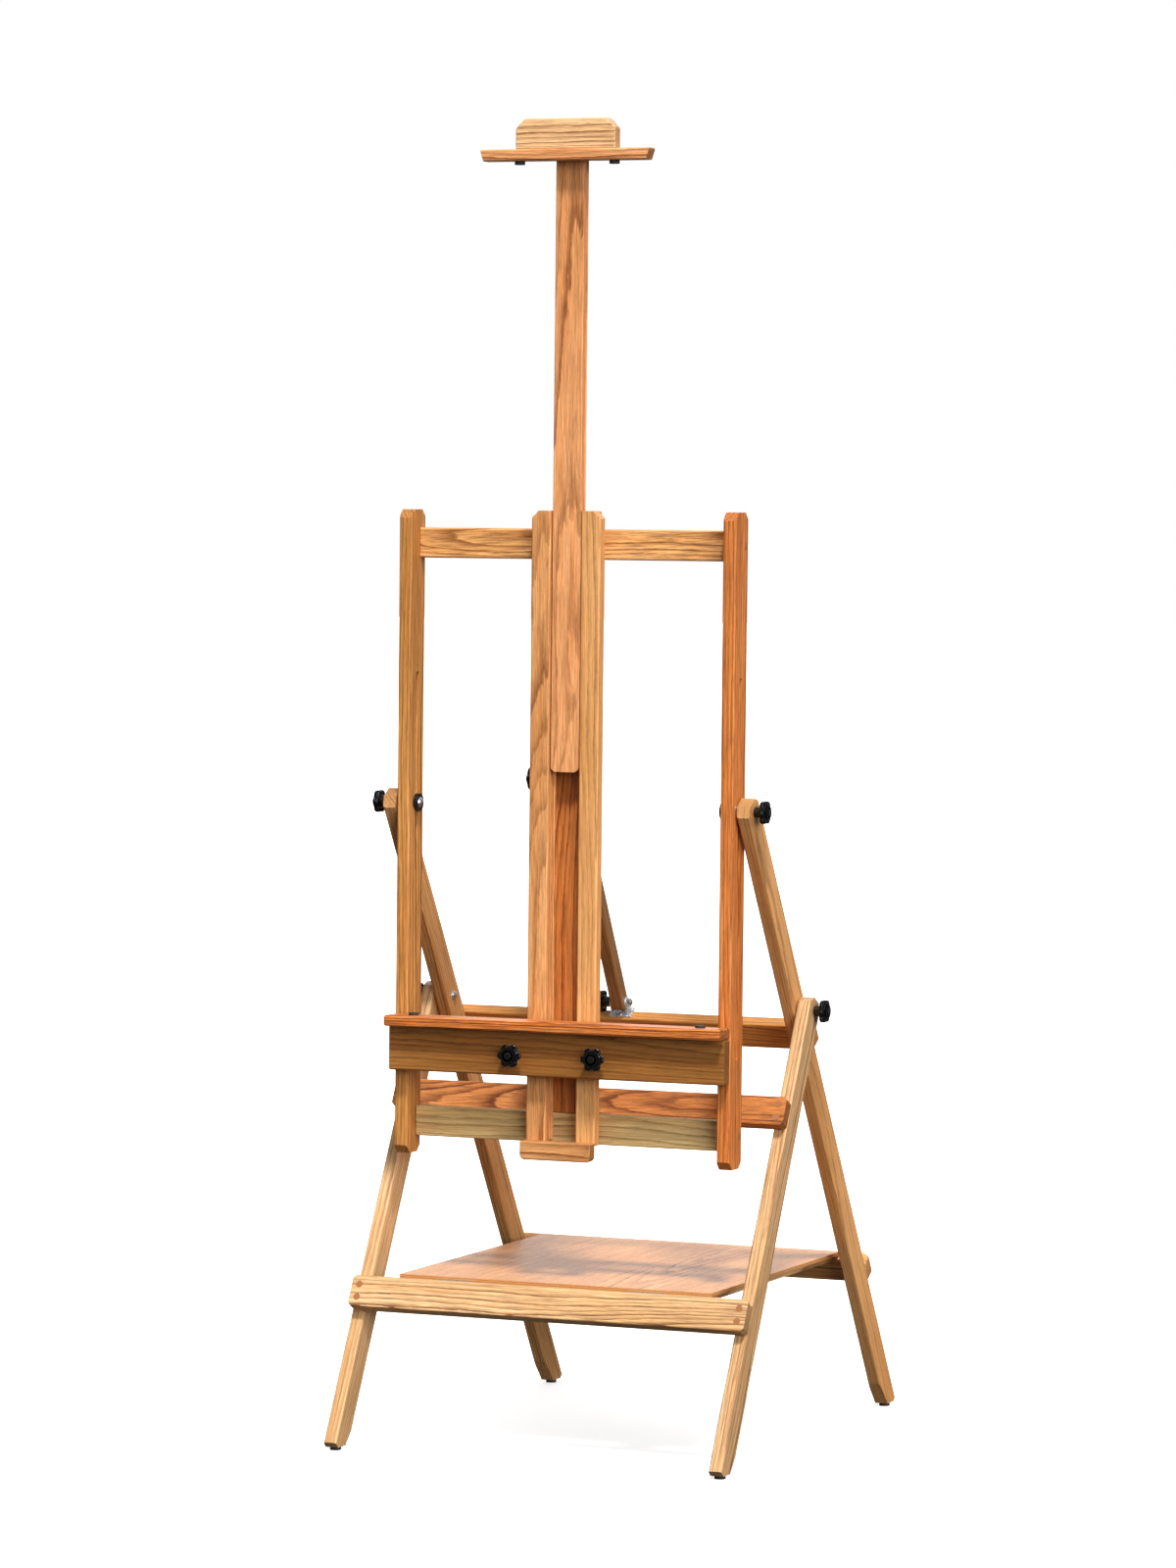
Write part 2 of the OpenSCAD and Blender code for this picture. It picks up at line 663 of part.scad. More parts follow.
module tray_apron() {
    color(oak_dark) difference() {
        translate([0, apron_front + board_t / 2, tray_bottom + apron_h / 2])
            bar(tray_w, board_t, apron_h, 2);
        for (s = [-1, 1]) translate([s * tray_knob_x, apron_front - 1, tray_knob_z])
            rotate([-90, 0, 0]) cylinder(d = bolt_d + 2 * fit, h = board_t + 2);
    }
}
module tray_ledge() {
    color(oak_red) translate([0, tray_back - ledge_d / 2, ledge_bottom + ledge_t / 2])
        bar(tray_w, ledge_d, ledge_t, 2);
}
module tray_bumpers() {
    color(rubber) for (s = [-1, 1])
        translate([s * (tray_w / 2 - 38), tray_back - 18, ledge_top]) cylinder(d = bumper_d, h = pad_t);
}
module tray_clamps() {
    tip = web_x + 1.5;
    color(zinc) for (s = [-1, 1]) difference() {
        translate([0, 0, tray_knob_z - clamp_h / 2]) linear_extrude(clamp_h) mirror([s > 0 ? 0 : 1, 0]) {
            translate([tip, clamp_front]) square([tray_knob_x + 16 - tip, clamp_back - clamp_front]);
            translate([tray_knob_x + 6, tray_back]) square([10, clamp_back - tray_back]);
        }
        translate([s * tray_knob_x, panel_front, tray_knob_z]) rotate([-90, 0, 0])
            cylinder(d = bolt_d + 2 * fit, h = 2 * post_w);
    }
}

// ---- stay ----

module stay_strut() {
    r = stay_w / 2;
    color(oak_dark) translate([-stay_x, stay_foot[0], stay_foot[1]]) rotate([stay_lean, 0, 0])
        difference() {
            intersection() {
                translate([0, 0, -r]) linear_extrude(stay_len + 2 * r) round_rect(board_t, stay_w, edge_r);
                rotate([90, 0, 90]) translate([0, 0, -board_t]) linear_extrude(2 * board_t) {
                    translate([-r, 0]) square([stay_w, stay_len]);
                    circle(r = r);
                    translate([0, stay_len]) circle(r = r);
                }
            }
            rod_x(stay_bolt_d + 2 * fit, 2 * board_t);
            translate([0, 0, stay_len]) rod_x(stay_bolt_d + 2 * fit, 2 * board_t);
        }
}
stay_right = -stay_x + board_t / 2;
lower_knob_x = -stay_x - ear_in - bracket_t - gap;
collar_l = 14.5;                            // keeps the upper knob clear of the central post
upper_knob_x = cheek_x0 - collar_l - 2 * gap;
module stay_bolts() {
    color(zinc) {
        rod_between(stay_bolt_d, lower_knob_x - 10, -stay_x + ear_in + bracket_t + 7,
                    stay_foot[0], stay_foot[1]);
        rod_between(stay_bolt_d, upper_knob_x - 10, stay_right, stay_top_y, stay_top_h);
        translate([stay_right, stay_top_y, stay_top_h]) dome_head(13, 4);
    }
}
module stay_collar() {
    color(plastic) translate([cheek_x0 - gap - collar_l / 2, stay_top_y, stay_top_h]) difference() {
        rod_x(20, collar_l);
        rod_x(stay_bolt_d + 2 * fit, collar_l + 2);
    }
}
module stay_nut() {
    color(zinc) difference() {
        translate([-stay_x + ear_in + bracket_t + gap, stay_foot[0], stay_foot[1]])
            rotate([0, 90, 0]) cylinder(d = 11.5, h = 5, $fn = 6);
        translate([0, stay_foot[0], stay_foot[1]]) rod_x(stay_bolt_d, 200);
    }
}

// ---- knobs ----

knob_hole = bolt_d + 2 * fit;
stay_knob_hole = stay_bolt_d + 2 * fit;
module leg_knob(s) {
    color(plastic) knob_on_x(s, front_x + board_t / 2 + gap, pivot_y, pivot_h) star_knob(knob_hole, 13);
}
module wing_knob(s) {
    color(plastic) knob_on_x(s, rear_x + board_t / 2 + gap, wing_bolt_y, wing_bolt_h)
        star_knob(knob_hole, 13);
}
module tray_knob(s) {
    color(plastic) translate([s * tray_knob_x, apron_front - gap, tray_knob_z]) rotate([90, 0, 0])
        screw_knob(bolt_d, clamp_back - apron_front - 1);
}
module mast_lock_knob() {
    color(plastic) translate([0, panel_back + gap, top_bar_h]) rotate([-90, 0, 0])
        screw_knob(bolt_d, panel_back - mast_front - mast_t);
}
module stay_knob_lower() {
    color(plastic) knob_on_x(-1, -lower_knob_x, stay_foot[0], stay_foot[1]) star_knob(stay_knob_hole, 11);
}
module stay_knob_upper() {
    color(plastic) knob_on_x(-1, -upper_knob_x, stay_top_y, stay_top_h) star_knob(stay_knob_hole, 11);
}

rear_leg(-1);  // rear_leg_left
rear_leg(1);  // rear_leg_right
rear_rail(rear_upper_s);  // rear_upper_rail
rear_rail(rear_lower_s);  // rear_lower_rail
feet(rear_x, pivot_y + foot_y(rear_lean));  // rear_feet
stay_bracket();
bracket_screws();
leg_bolts();
leg_washers();
front_leg(-1);  // front_leg_left
front_leg(1);  // front_leg_right
front_rail(front_upper_s, front_upper_h);  // front_upper_rail
front_rail(front_lower_s, front_lower_h);  // front_lower_rail
feet(front_x, pivot_y - foot_y(front_lean));  // front_feet
rail_plugs();
rail_hinge_leaves();
shelf_panel();
shelf_battens();
shelf_hinge_leaves();
wing_bolts();
wing_washers();
wing_spacers();
wing_post(-1);  // wing_post_left
wing_post(1);  // wing_post_right
top_crossbar();
crossbar(bottom_bar_h);  // bottom_crossbar
centre_post(-1);  // centre_post_left
centre_post(1);  // centre_post_right
guide_tongues();
spine();
foot_block();
tilt_cheek();
post_plugs();
mast_lock_insert();
mast();
holder_board();
holder_bar();
holder_bumpers();
tray_apron();
tray_ledge();
tray_bumpers();
tray_clamps();
stay_strut();
stay_bolts();
stay_collar();
stay_nut();
leg_knob(-1);  // leg_knob_left
leg_knob(1);  // leg_knob_right
wing_knob(-1);  // wing_knob_left
wing_knob(1);  // wing_knob_right
tray_knob(-1);  // tray_knob_left
tray_knob(1);  // tray_knob_right
mast_lock_knob();
stay_knob_lower();
stay_knob_upper();
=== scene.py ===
"""Looks of a folding wooden artist easel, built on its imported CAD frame."""
import json
import math
from collections import namedtuple

import bmesh
import bpy
from mathutils import Euler, Matrix, Vector


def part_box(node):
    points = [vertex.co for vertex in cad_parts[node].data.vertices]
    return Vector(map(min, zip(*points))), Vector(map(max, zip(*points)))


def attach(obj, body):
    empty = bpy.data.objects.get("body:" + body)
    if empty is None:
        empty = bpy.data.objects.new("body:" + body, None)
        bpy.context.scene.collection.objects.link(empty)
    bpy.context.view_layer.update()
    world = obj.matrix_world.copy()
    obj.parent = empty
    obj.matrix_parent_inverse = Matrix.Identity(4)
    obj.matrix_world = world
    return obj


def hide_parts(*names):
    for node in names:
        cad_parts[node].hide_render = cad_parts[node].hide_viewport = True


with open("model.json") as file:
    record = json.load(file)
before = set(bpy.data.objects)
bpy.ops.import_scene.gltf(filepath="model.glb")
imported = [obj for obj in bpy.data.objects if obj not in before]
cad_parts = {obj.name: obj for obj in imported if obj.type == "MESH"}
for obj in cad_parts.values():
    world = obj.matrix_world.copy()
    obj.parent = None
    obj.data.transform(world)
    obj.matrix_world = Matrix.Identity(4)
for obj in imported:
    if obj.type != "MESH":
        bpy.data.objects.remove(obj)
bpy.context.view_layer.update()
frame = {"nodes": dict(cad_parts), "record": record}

bl_info = {
    "name": "Artist Easel",
    "version": (1, 0, 0),
    "blender": (4, 5, 0),
    "location": "View3D > Sidebar > Easel",
    "description": "Timber, fittings and studio for a folding artist easel",
    "category": "Add Mesh",
}

MM = 0.001

# Corners of the CAD mesh closer than this are one corner.
WELD = 2e-6
# Edges flatter than this came from triangles, and edges sharper than the next were sawn.
FLAT_ANGLE = math.radians(0.6)
SAWN_ANGLE = math.radians(24)
# Light breaks on edges sharper than this.
CREASE_ANGLE = math.radians(28)
# Boards thinner than this keep crisper edges.
THIN_STOCK = 8 * MM
THIN_EDGE = 0.6 * MM
PLIES = 5
# Torn fibres on the plywood's edge, about 1.4 mm apart.
FUZZ_SCALE = 700.0
# How shiny oiled timber is.
OILED_SHINE = 0.3
# A knob's screw starts this far inside it.
SCREW_SEAT = 2 * MM


def centre_of(node):
    """The middle of a CAD node's box at rest."""
    low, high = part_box(node)
    return (low + high) / 2


def size_of(node):
    """The size of a CAD node's box along each axis."""
    low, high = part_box(node)
    return high - low


def paint(hex_colour):
    """An sRGB hex colour as the linear colour that Blender works in."""
    parts = [int(hex_colour[i:i + 2], 16) / 255 for i in (1, 3, 5)]
    linear = [p / 12.92 if p <= 0.04045 else ((p + 0.055) / 1.055) ** 2.4 for p in parts]
    return (*linear, 1.0)


BODIES = frame["record"]["behaviour"]["bodies"]
BODY_OF = {node: body for body, nodes in BODIES.items() for node in nodes}


def add(material, kind, feeds=None, stops=(), **settings):
    """Adds one shader node, with its settings, its ramp stops and what goes into its sockets.

    A feed is a value, a socket, or a node whose first output in use is meant."""
    node = material.node_tree.nodes.new("ShaderNode" + kind)
    for name, value in settings.items():
        setattr(node, name, value)
    for place, (at, grey) in enumerate(stops):
        elements = node.color_ramp.elements
        element = elements[place] if place < len(elements) else elements.new(at)
        element.position = at
        element.color = (grey, grey, grey, 1)
    for name, value in (feeds or {}).items():
        socket = node.inputs[name]
        if isinstance(name, str):
            socket = next(s for s in node.inputs if s.name == name and s.enabled)
        if isinstance(value, bpy.types.Node):
            value = next(s for s in value.outputs if s.enabled)
        if isinstance(value, bpy.types.NodeSocket):
            material.node_tree.links.new(value, socket)
        else:
            socket.default_value = value
    return node


def blank(name):
    """A new material with an empty node tree."""
    material = bpy.data.materials.new(name)
    material.use_nodes = True
    material.node_tree.nodes.clear()
    return material


# ---- timber -------------------------------------------------------------
FRONT_LEAN = math.radians(28.2)
REAR_LEAN = math.radians(33.5)
STAY_LEAN = math.radians(30.1)
# How the grain runs: the turn that brings a board's length upright.
ALONG = {
    "up": (0, 0, 0),
    "across": (0, -math.pi / 2, 0),
    "deep": (math.pi / 2, 0, 0),
    "front leg": (FRONT_LEAN, 0, 0),
    "rear leg": (-REAR_LEAN, 0, 0),
    "front rail": (FRONT_LEAN, -math.pi / 2, 0),
    "rear rail": (-REAR_LEAN, -math.pi / 2, 0),
    "stay": (-STAY_LEAN, 0, 0),
}

# Each board: its oil, how bright the oil left it (on the stay, darkened further by painted shade),
# how strongly it is figured, how its grain runs, the angle and distance in mm from the board to
# the tree's heart, and how far the heart leans, in degrees.
Board = namedtuple("Board", "node oil shade figure along heart_angle heart_mm lean")
STAND = (
    Board("rear_leg_left", "wheat", 0.94, 1.0, "rear leg", 215, 90, 0.5),
    Board("rear_leg_right", "wheat", 0.97, 0.7, "rear leg", 160, 85, 0.8),
    Board("rear_upper_rail", "honey", 0.96, 1.0, "rear rail", 50, 70, 0.6),
    Board("rear_lower_rail", "wheat", 1.0, 1.0, "rear rail", 60, 90, 0.6),
)
FRONT_FRAME = (
    Board("front_leg_left", "straw", 1.0, 1.0, "front leg", 220, 80, 0.5),
    Board("front_leg_right", "straw", 0.93, 1.3, "front leg", 325, 75, 0.6),
    Board("front_upper_rail", "chestnut", 1.08, 1.4, "front rail", 95, 60, 2.0),
    Board("front_lower_rail", "straw", 1.02, 1.3, "front rail", 128, 75, 0.5),
)
SHELF = (
    Board("shelf_panel", "peach", 0.82, 0.8, "deep", 150, 120, 0.5),
    Board("shelf_battens", "straw", 1.0, 1.0, "deep", 40, 70, 0.5),
)
PANEL = (
    Board("wing_post_left", "honey", 0.93, 1.3, "up", 215, 70, 0.5),
    Board("wing_post_right", "amber", 1.03, 1.3, "up", 320, 75, 0.6),
    Board("top_crossbar", "wheat", 1.21, 1.5, "across", 78, 48, 1.6),
    Board("bottom_crossbar", "barley", 0.85, 0.8, "across", 60, 80, 0.6),
    Board("centre_post_left", "peach", 0.92, 1.0, "up", 258, 80, 1.2),
    Board("centre_post_right", "wheat", 1.07, 0.7, "up", 300, 80, 0.7),
    Board("guide_tongues", "peach", 0.9, 1.0, "up", 0, 80, 0.5),
    Board("spine", "amber", 0.97, 1.1, "up", 60, 75, 0.8),
    Board("foot_block", "peach", 0.82, 1.1, "across", 80, 70, 0.8),
    Board("tilt_cheek", "wheat", 0.9, 1.0, "up", 15, 75, 0.8),
)
MAST = (
    Board("mast", "rose", 1.1, 1.1, "up", 262, 85, 1.0),
    Board("holder_board", "cream", 1.05, 1.2, "across", 70, 70, 0.8),
    Board("holder_bar", "rose", 1.06, 1.4, "across", 60, 65, 0.8),
)
TRAY = (
    # The apron's umber is partly its darker wood and partly painted shade from the ledge above it.
    Board("tray_apron", "umber", 1.00, 0.85, "across", 60, 75, 0.6),
    Board("tray_ledge", "amber", 1.06, 1.9, "across", 20, 80, 0.5),
)
# The stay's low brightness is painted shade: the shadow it stands in is darkened into its colour.
STAY = (Board("stay_strut", "wheat", 0.47, 1.0, "stay", 30, 80, 0.6),)

# What varies in oak: how far each mark spreads across the grain and along it, in mm, with the
# detail and roughness of its noise. Pores and fibres are finer than this in the tree, and are
# drawn about twice as coarse so that they show.
GRAIN = {
    "sway": (220, 650, 1.0, 0.5),
    "jag": (9, 60, 3.0, 0.6),
    "pore": (0.8, 12, 2.0, 0.6),
    "fibre": (1.3, 70, 3.0, 0.7),
    "band": (9, 420, 3.0, 0.55),
    "drift": (60, 380, 2.0, 0.5),
}


def oak_board(board, timber):
    """Oak, planed, sanded and oiled: dark open spring wood in fine lines, glossy summer wood."""
    material = blank("oiled_oak_" + board.node)
    lean = math.radians(board.lean)
    turn = Euler((lean, lean * 0.7, 0)).to_matrix() @ Euler(ALONG[board.along]).to_matrix()
    seed = sum(map(ord, board.node)) % 97 * 0.37
    angle = math.radians(board.heart_angle)
    heart = Vector((math.cos(angle), math.sin(angle), 0)) * board.heart_mm * MM
    at = add(material, "TexCoord")
    wood = add(material, "Mapping", {
        "Vector": at.outputs["Object"], "Rotation": turn.to_euler(),
        "Location": heart - turn @ centre_of(board.node) + Vector((0, 0, seed)),
    })
    mark = {}
    for name, (across, along, detail, rough) in GRAIN.items():
        drawn = add(material, "Mapping", {
            "Vector": wood, "Scale": (1 / (across * MM), 1 / (across * MM), 1 / (along * MM)),
        })
        mark[name] = add(material, "TexNoise", {
            "Vector": drawn, "Scale": 1.0, "Detail": detail, "Roughness": rough,
        })

    # The trunk sways past the saw and each ring wavers a little on its way up.
    place = wood
    for name, reach in (("sway", timber.sway), ("jag", timber.waver)):
        shift = add(material, "VectorMath", {
            0: mark[name].outputs["Color"], 1: (0.5, 0.5, 0.5),
        }, operation="SUBTRACT")
        place = add(material, "VectorMath", {
            0: shift, 1: (reach, reach, 0), 2: place,
        }, operation="MULTIPLY_ADD")
    crosswise = add(material, "VectorMath", {0: place, 1: (1, 1, 0)}, operation="MULTIPLY")
    radius = add(material, "VectorMath", {0: crosswise}, operation="LENGTH")
    climate = add(material, "TexNoise", {
        "W": radius, "Scale": 60.0, "Detail": 1.0,
    }, noise_dimensions="1D")
    years = add(material, "Math", {
        0: radius, 1: 1 / timber.ring_width, 2: climate,
    }, operation="MULTIPLY_ADD")
    year = add(material, "Math", {0: years}, operation="FLOOR")
    season = add(material, "Math", {0: years}, operation="FRACT")
    growth = add(material, "TexWhiteNoise", {"W": year}, noise_dimensions="1D")
    # Spring wood starts sharply, dark and open, and fades into dense summer wood.
    spring = add(material, "ValToRGB", {"Fac": season}, stops=(
        (0.0, 0.7), (0.07, 1.0), (0.3, 0.45), (0.6, 0.08), (0.95, 0.0), (1.0, 0.7)))
    vigour = add(material, "MapRange", {"Value": growth.outputs["Value"], "To Min": 0.3})
    line = add(material, "Math", {0: spring, 1: vigour}, operation="MULTIPLY")
    dash = add(material, "ValToRGB", {"Fac": mark["pore"]}, stops=((0.53, 0.0), (0.66, 1.0)))
    crowd = add(material, "MapRange", {"Value": line, "To Min": 0.2})
    pore = add(material, "Math", {0: dash, 1: crowd}, operation="MULTIPLY")

    # Colour: the oil's own tone drifts from pale to warm, rings and pores hold more of it.
    oil = Vector(getattr(timber, board.oil)[:3]) * board.shade
    tones = {
        "pale": (1.16, 1.18, 1.22), "warm": (0.9, 0.84, 0.74),
        "red": (0.97, 0.80, 0.64), "dark": (0.34, 0.22, 0.13), "deep": (0.16, 0.10, 0.06),
    }
    pale, warm, red, dark, deep = (
        (*(min(c * t, 1) for c, t in zip(oil, tone)), 1) for tone in tones.values())
    drift = add(material, "MapRange", {"Value": mark["drift"], "From Min": 0.35, "From Max": 0.65})
    ground = add(material, "Mix", {"Factor": drift, "A": pale, "B": warm}, data_type="RGBA")
    flush = add(material, "MapRange", {
        "Value": mark["band"], "From Min": 0.48, "From Max": 0.72, "To Max": 0.75,
    })
    banded = add(material, "Mix", {"Factor": flush, "A": ground, "B": red}, data_type="RGBA")
    inked = add(material, "Math", {
        0: line, 1: timber.line_strength * board.figure,
    }, operation="MULTIPLY", use_clamp=True)
    ringed = add(material, "Mix", {"Factor": inked, "A": banded, "B": dark}, data_type="RGBA")
    soaked = add(material, "Math", {0: pore, 1: timber.pore_strength}, operation="MULTIPLY")
    pored = add(material, "Mix", {"Factor": soaked, "A": ringed, "B": deep}, data_type="RGBA")
    # Sawn ends drink the oil and turn darker.
    grain_way = turn.transposed() @ Vector((0, 0, 1))
    facing = add(material, "VectorMath", {
        0: at.outputs["Normal"], 1: grain_way,
    }, operation="DOT_PRODUCT")
    end = add(material, "Math", {0: facing}, operation="ABSOLUTE")
    sunk = add(material, "MapRange", {
        "Value": end, "From Min": 0.55, "From Max": 0.85, "To Min": 1.0, "To Max": 0.7,
    })
    streak = add(material, "MapRange", {
        "Value": mark["fibre"], "From Min": 0.3, "From Max": 0.7,
        "To Min": 1 - 0.42 * board.figure, "To Max": 1 + 0.3 * board.figure,
    })
    bright = add(material, "Math", {0: streak, 1: sunk}, operation="MULTIPLY")
    colour = add(material, "HueSaturation", {"Color": pored, "Value": bright})

    hollow = add(material, "Math", {0: line, 1: 0.3, 2: pore}, operation="MULTIPLY_ADD")
    rise = add(material, "Math", {0: mark["fibre"], 1: 0.4}, operation="MULTIPLY")
    lift = add(material, "Math", {0: rise, 1: hollow}, operation="SUBTRACT")
    relief = add(material, "Bump", {"Height": lift, "Strength": 0.5, "Distance": timber.pore_depth})
    dull = add(material, "MapRange", {"Value": pore, "To Min": 0.46, "To Max": 0.7})
    shader = add(material, "BsdfPrincipled", {
        "Base Color": colour, "Roughness": dull, "Normal": relief,
        "Specular IOR Level": OILED_SHINE,
    })
    add(material, "OutputMaterial", {"Surface": shader})
    return material


def eased_copy(node, radius):
    """A board's shape with the sharp edges that the saw left sanded round."""
    mesh = bmesh.new()
    mesh.from_mesh(frame["nodes"][node].data)
    bmesh.ops.remove_doubles(mesh, verts=mesh.verts, dist=WELD)
    bmesh.ops.dissolve_limit(mesh, angle_limit=FLAT_ANGLE, verts=mesh.verts, edges=mesh.edges)
    sharp = [e for e in mesh.edges
             if e.is_manifold and e.calc_face_angle_signed() > SAWN_ANGLE]
    if sharp:
        bmesh.ops.bevel(mesh, geom=sharp, offset=radius, offset_type="OFFSET", segments=3,
                        profile=0.5, affect="EDGES", clamp_overlap=True, material=-1)
    return mesh


def finish_piece(mesh, name, node, materials):
    """Turns a finished bmesh into a piece that rides on its node's body and stands for the node."""
    data = bpy.data.meshes.new(name)
    bmesh.ops.triangulate(mesh, faces=[f for f in mesh.faces if len(f.verts) > 4])
    mesh.to_mesh(data)
    mesh.free()
    for material in materials:
        data.materials.append(material)
    data.shade_smooth()
    data.set_sharp_from_angle(angle=CREASE_ANGLE)
    piece = bpy.data.objects.new(name, data)
    bpy.context.scene.collection.objects.link(piece)
    even = piece.modifiers.new("even shading", "WEIGHTED_NORMAL")
    even.keep_sharp = True
    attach(piece, BODY_OF[node])
    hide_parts(node)


def ply_edge(timber):
    """Sawn plywood edge: five plies, their long grain pale and their end grain dark in turn."""
    material = blank("sawn_plywood_edge")
    low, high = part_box("shelf_panel")
    at = add(material, "TexCoord")
    level = add(material, "SeparateXYZ", {"Vector": at.outputs["Object"]})
    plies = add(material, "MapRange", {
        "Value": level.outputs["Z"], "From Min": low.z, "From Max": high.z,
        "To Max": PLIES / 2,
    })
    part = add(material, "Math", {0: plies}, operation="FRACT")
    crossed = add(material, "Math", {0: part, 1: 0.5}, operation="GREATER_THAN")
    fuzz = add(material, "TexNoise", {
        "Vector": at.outputs["Object"], "Scale": FUZZ_SCALE, "Detail": 3.0,
    })
    layer = add(material, "Mix", {
        "Factor": crossed, "A": tuple(timber.wheat), "B": tuple(timber.chestnut),
    }, data_type="RGBA")
    rubbed = add(material, "MapRange", {"Value": fuzz, "To Min": 0.6, "To Max": 1.1})
    colour = add(material, "HueSaturation", {"Color": layer, "Value": rubbed})
    relief = add(material, "Bump", {"Height": fuzz, "Strength": 0.5, "Distance": timber.pore_depth})
    shader = add(material, "BsdfPrincipled", {
        "Base Color": colour, "Roughness": 0.7, "Normal": relief,
        "Specular IOR Level": OILED_SHINE,
    })
    add(material, "OutputMaterial", {"Surface": shader})
    return material


def saw(boards):
    """Cuts each board to its place and eases its edges; thin stock keeps crisper ones."""
    timber = bpy.context.scene.easel_timber
    for board in boards:
        thin = min(size_of(board.node)) < THIN_STOCK
        mesh = eased_copy(board.node, THIN_EDGE if thin else timber.edge_radius)
        faces = [oak_board(board, timber)]
        if board.node == "shelf_panel":
            faces.append(ply_edge(timber))
            for face in mesh.faces:
                face.material_index = int(abs(face.normal.z) < 0.5)
        finish_piece(mesh, board.node + "_board", board.node, faces)


# ---- fittings ----------------------------------------------------------
# What each fitting is made of, how its surface was made, and the pattern that this leaves.
# Patterns finer than 0.5 mm are drawn at 0.5 to 1 mm so that they show.
Finish = namedtuple("Finish", "name metal dull glossy pattern size_mm detail lift_mm")
FINISHES = {
    # Glass-filled nylon, injection moulded: deep black, a wet sheen, a fine eggshell skin.
    "nylon": Finish("moulded_black_nylon", 0.0, 0.38, 0.24, "TexNoise", 2.0, 4.0, 0.03),
    # Moulded rubber: dull black with a dusty bloom.
    "rubber": Finish("moulded_black_rubber", 0.0, 0.85, 0.65, "TexNoise", 6.0, 4.0, 0.1),
    # Bright zinc plate on steel: cool, with cloudy handling marks.
    "zinc": Finish("zinc_plated_steel", 1.0, 0.42, 0.2, "TexNoise", 5.0, 4.0, 0.03),
    # Hot-dip galvanised sheet: crystal spangle a few millimetres across.
    "galvanised": Finish("galvanised_sheet", 0.6, 0.55, 0.3, "TexVoronoi", 3.5, 0.0, 0.02),
    # Brass turned on a lathe: warm yellow, clouded where it was handled.
    "brass": Finish("turned_brass", 1.0, 0.42, 0.25, "TexNoise", 1.0, 2.0, 0.02),
    # Oak plug, cut across the grain and sanded flush: dark speckled end grain.
    "plug": Finish("cross_cut_oak_plug", 0.0, 0.65, 0.5, "TexNoise", 0.9, 3.0, 0.1),
}


def fitting_finish(name, fittings):
    """One of the finishes above, between its two colours."""
    finish = FINISHES[name]
    material = blank(finish.name)
    at = add(material, "TexCoord")
    marks = add(material, finish.pattern, {
        "Vector": at.outputs["Object"], "Scale": 1 / (finish.size_mm * MM),
        "Detail": finish.detail,
    })
    worn = add(material, "MapRange", {
        "Value": marks.outputs["Color"], "From Min": 0.3, "From Max": 0.7,
    })
    tone = add(material, "Mix", {
        "Factor": worn, "A": tuple(getattr(fittings, name)),
        "B": tuple(getattr(fittings, name + "_worn")),
    }, data_type="RGBA")
    sheen = add(material, "MapRange", {
        "Value": worn, "To Min": finish.glossy, "To Max": finish.dull,
    })
    relief = add(material, "Bump", {
        "Height": worn, "Strength": 0.5, "Distance": finish.lift_mm * MM,
    })
    shader = add(material, "BsdfPrincipled", {
        "Base Color": tone, "Roughness": sheen, "Normal": relief, "Metallic": finish.metal,
    })
    add(material, "OutputMaterial", {"Surface": shader})
    return material


def dress(nodes, material):
    """Gives CAD nodes whose shape is right a finish."""
    for node in nodes:
        data = frame["nodes"][node].data
        data.materials.clear()
        data.materials.append(material)


# node, the way the knob points, the bolt's diameter in mm
Knob = namedtuple("Knob", "node points screw_mm")
KNOBS = (
    Knob("leg_knob_left", (-1, 0, 0), 8),
    Knob("leg_knob_right", (1, 0, 0), 8),
    Knob("wing_knob_left", (-1, 0, 0), 8),
    Knob("wing_knob_right", (1, 0, 0), 8),
    Knob("tray_knob_left", (0, -1, 0), 8),
    Knob("tray_knob_right", (0, -1, 0), 8),
    Knob("mast_lock_knob", (0, 1, 0), 8),
    Knob("stay_knob_lower", (-1, 0, 0), 6),
    Knob("stay_knob_upper", (-1, 0, 0), 6),
)


def star_knob(fittings):
    """A moulded star knob on z = 0, pointing up: rounded lobes, a dished ring and a domed hub."""
    wide, tall = fittings.knob_width / 2, fittings.knob_height
    # height, radius, depth of the dips between lobes and their softness, from the stem up
    levels = (
        (0.00, 0.40, 0.0), (0.015, 0.43, 0.0), (0.43, 0.46, 0.0), (0.455, 0.50, 0.0),
        (0.462, 0.84, 0.16), (0.475, 0.92, 0.2), (0.51, 0.98, 0.22), (0.56, 1.0, 0.225),
        (0.73, 1.0, 0.225), (0.80, 0.985, 0.22), (0.845, 0.94, 0.2), (0.87, 0.87, 0.15),
        (0.878, 0.78, 0.08), (0.872, 0.70, 0.0), (0.868, 0.665, 0.0), (0.885, 0.64, 0.0),
        (0.93, 0.615, 0.0), (0.965, 0.56, 0.0), (0.988, 0.42, 0.0), (1.0, 0.2, 0.0),
    )
    mesh = bmesh.new()
    bmesh.ops.create_circle(mesh, cap_ends=True, radius=wide, segments=fittings.knob_lobes * 20)
    ring = list(mesh.verts)
    for step, (height, reach, dip) in enumerate(levels):
        if step:
            cap = [f for f in mesh.faces if ring[0] in f.verts and len(f.verts) == len(ring)]
            drawn = bmesh.ops.extrude_face_region(mesh, geom=cap)
            ring = [g for g in drawn["geom"] if isinstance(g, bmesh.types.BMVert)]
        for v in ring:
            turn = math.atan2(v.co.y, v.co.x)
            hollow = (0.5 - 0.5 * math.cos(turn * fittings.knob_lobes)) ** 1.5
            v.co.xy = Vector((math.cos(turn), math.sin(turn))) * wide * (reach - dip * hollow)
            v.co.z = height * tall
    bmesh.ops.recalc_face_normals(mesh, faces=mesh.faces)
    return mesh


# ---- what a user may change -------------------------------------------

